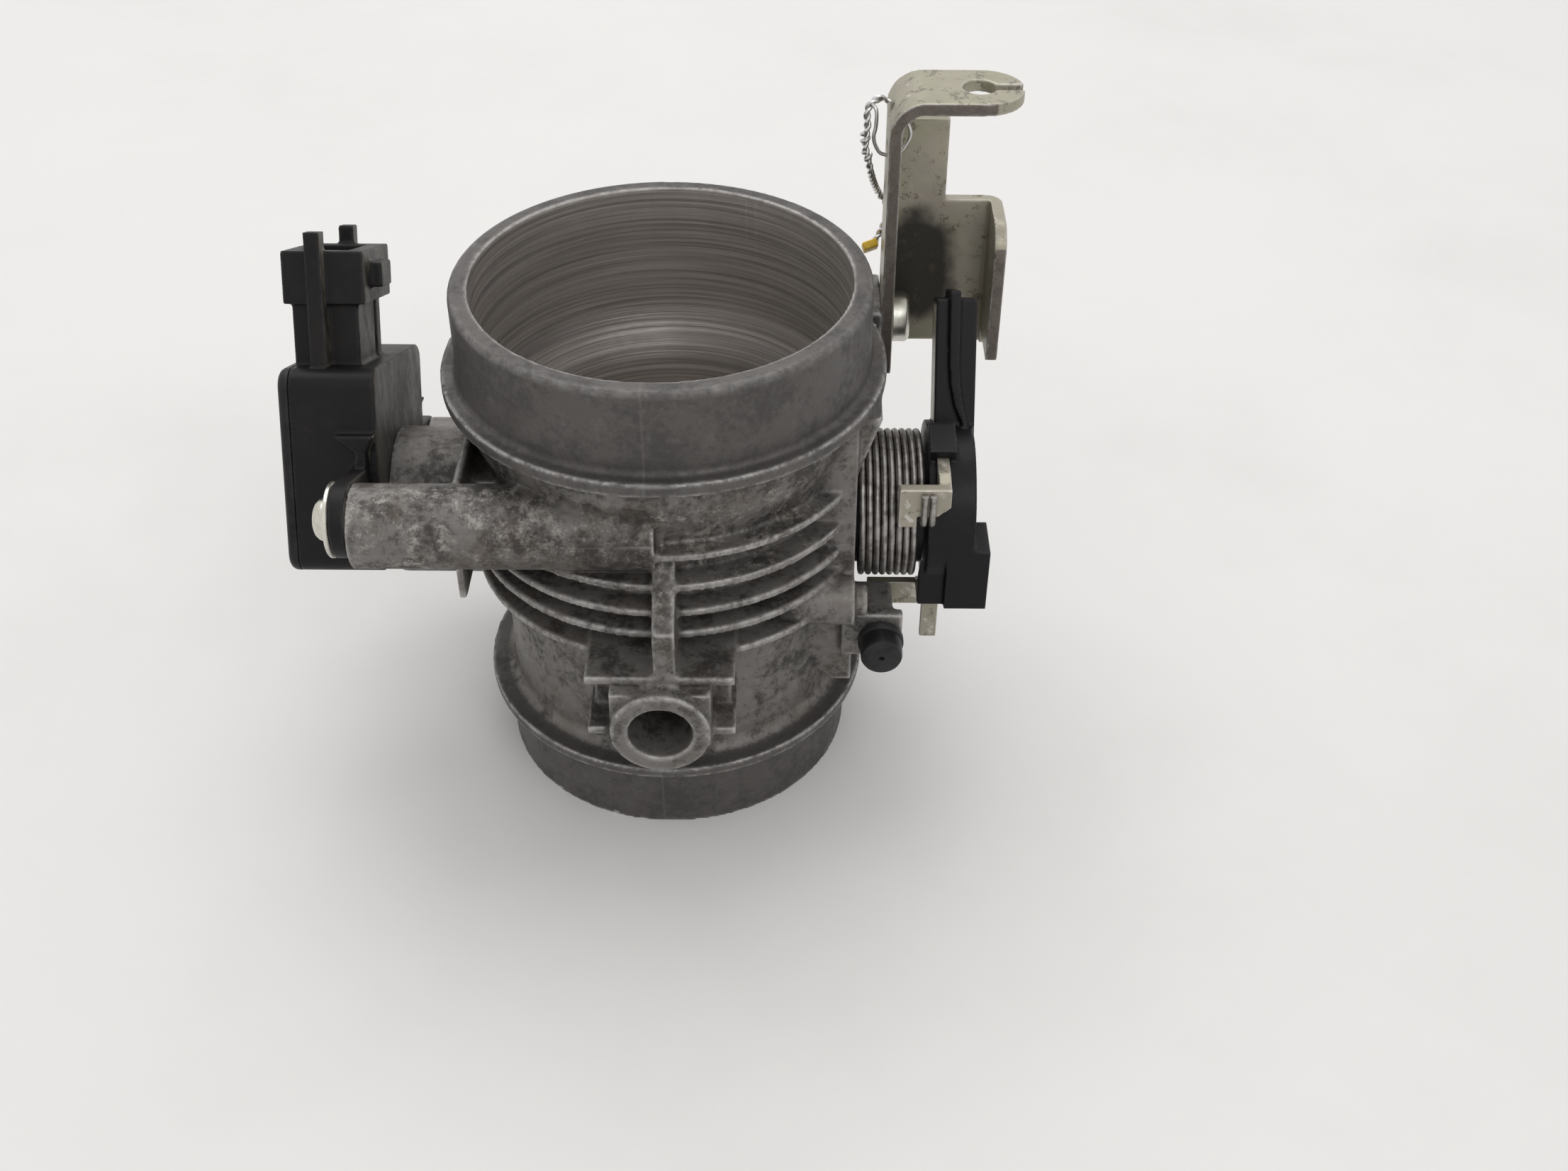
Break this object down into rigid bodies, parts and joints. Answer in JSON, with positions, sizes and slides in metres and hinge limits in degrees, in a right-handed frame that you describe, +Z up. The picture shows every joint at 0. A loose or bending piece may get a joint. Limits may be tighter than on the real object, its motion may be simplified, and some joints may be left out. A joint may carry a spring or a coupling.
{
  "type": "throttle body",
  "caption": "Cable-operated throttle body: ribbed cast barrel with hose spigots, butterfly on a sprung shaft, cable quadrant and bracket, and a position sensor.",
  "frame": {"origin": "centre of the outlet spigot's end face, which the part stands on", "axes": "+Z up the bore towards the inlet, +X along the throttle shaft towards the cable quadrant, -Y towards the hose fitting port"},
  "size_m": [0.1225, 0.0809, 0.1136],
  "materials": {
    "cast_aluminium": "cast, stained with oxide, bright on worn edges, turned bore",
    "bearing_steel": "ground",
    "seal_rubber": "satin",
    "brass_plate": "turned, light carbon film",
    "zinc_screws": "bright zinc plating",
    "zinc_steel": "zinc plating with passivation tints",
    "black_plastic": "moulded, satin",
    "spring_wire": "dull drawn wire",
    "circuit_board": "laminate",
    "tin_terminals": "tin plating",
    "seal_wire": "bright wire",
    "yellow_plastic": "moulded"
  },
  "bodies": {
    "housing": {"throttle_housing": "cast_aluminium", "lever_side_bearing": "bearing_steel", "sensor_side_bearing": "bearing_steel", "lever_side_seal": "seal_rubber", "sensor_side_seal": "seal_rubber", "spring_sleeve": "black_plastic", "return_spring": "spring_wire", "backup_spring": "spring_wire", "sensor_housing": "black_plastic", "sensor_cover": "black_plastic", "sensor_board": "circuit_board", "sensor_terminals": "tin_terminals", "sensor_o_ring": "seal_rubber", "sensor_washers": "zinc_screws", "sensor_screws": "zinc_screws", "cable_bracket": "zinc_steel", "bracket_screw": "zinc_screws", "seal_wire": "seal_wire", "seal_tag": "yellow_plastic"},
    "throttle_shaft": {"throttle_shaft": "bearing_steel", "throttle_plate": "brass_plate", "plate_screws": "zinc_screws", "sensor_rotor": "black_plastic", "throttle_lever": "zinc_steel", "throttle_quadrant": "black_plastic", "lock_washer": "zinc_screws", "shaft_nut": "zinc_screws"},
    "idle_screw": {"idle_screw": "zinc_screws", "idle_screw_cap": "black_plastic"}
  },
  "joints": [
    {"name": "throttle_turn", "type": "hinge", "parent": "housing", "child": "throttle_shaft", "pos_m": [0, 0, 0.04875], "axis": [1, 0, 0], "range_deg": [0, 76], "stiffness_Nm_per_rad": 0.12, "springref_deg": -34.38},
    {"name": "idle_adjust", "type": "slide", "parent": "housing", "child": "idle_screw", "axis": [0, -1, 0], "range_m": [0, 0.002]}
  ]
}
